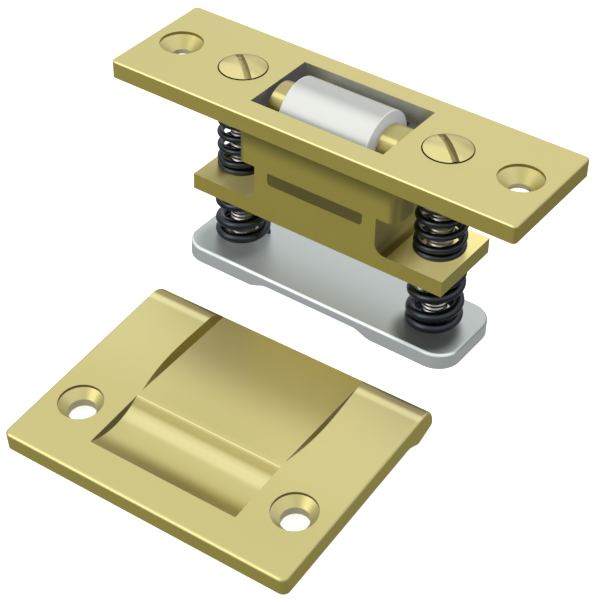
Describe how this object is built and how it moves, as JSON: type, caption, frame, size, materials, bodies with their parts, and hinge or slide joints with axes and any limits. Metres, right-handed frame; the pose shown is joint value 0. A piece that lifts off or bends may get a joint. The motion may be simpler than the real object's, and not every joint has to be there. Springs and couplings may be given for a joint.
{
  "type": "door roller catch",
  "caption": "Adjustable sprung roller catch for a door edge, with its matching lipped strike plate lying beside it.",
  "frame": {"origin": "centre of the face plate's underside, midway between the two fixing screws", "axes": "+X along the face plate, +Y away from the strike plate, +Z out of the door edge through the face plate"},
  "size_m": [0.0856, 0.0826, 0.0432],
  "materials": {
    "plate_brass": "satin lacquered brass",
    "strike_brass": "satin lacquered brass",
    "carrier_brass": "satin cast brass",
    "screw_brass": "satin brass head on a bright zinc plated shank",
    "roller_plastic": "smooth white plastic",
    "axle_steel": "bright steel",
    "back_metal": "smooth light grey plated metal",
    "spring_steel": "oiled black spring steel with a bluish sheen"
  },
  "bodies": {
    "plates": {"face_plate": "plate_brass", "strike_plate": "strike_brass"},
    "left_screw": {"adjusting_screw_left": "screw_brass"},
    "right_screw": {"adjusting_screw_right": "screw_brass"},
    "back": {"back_plate": "back_metal", "lower_spring_left": "spring_steel", "lower_spring_right": "spring_steel"},
    "carrier": {"roller_carrier": "carrier_brass", "roller_axle": "axle_steel", "upper_spring_left": "spring_steel", "upper_spring_right": "spring_steel"},
    "roller": {"roller": "roller_plastic"}
  },
  "joints": [
    {"name": "left_screw_turn", "type": "hinge", "parent": "plates", "child": "left_screw", "pos_m": [-0.022, 0, 0], "axis": [0, 0, -1], "range_deg": [0, 1350]},
    {"name": "right_screw_turn", "type": "hinge", "parent": "plates", "child": "right_screw", "pos_m": [0.022, 0, 0], "axis": [0, 0, -1], "range_deg": [0, 1350]},
    {"name": "back_plate_adjust", "type": "slide", "parent": "plates", "child": "back", "axis": [0, 0, 1], "range_m": [0, 0.003], "deforming": ["upper_spring_left", "upper_spring_right"]},
    {"name": "carrier_press", "type": "slide", "parent": "back", "child": "carrier", "axis": [0, 0, 1], "range_m": [-0.003, 0], "stiffness_N_per_m": 8000, "springref_m": 0.0005, "deforming": ["lower_spring_left", "lower_spring_right"]},
    {"name": "roller_spin", "type": "hinge", "parent": "carrier", "child": "roller", "pos_m": [0, 0, -0.00125], "axis": [1, 0, 0], "continuous": true}
  ],
  "couplings": [
    {"joint": "left_screw_turn", "follows": "back_plate_adjust", "rad_per_m": 7854},
    {"joint": "right_screw_turn", "follows": "back_plate_adjust", "rad_per_m": 7854}
  ]
}
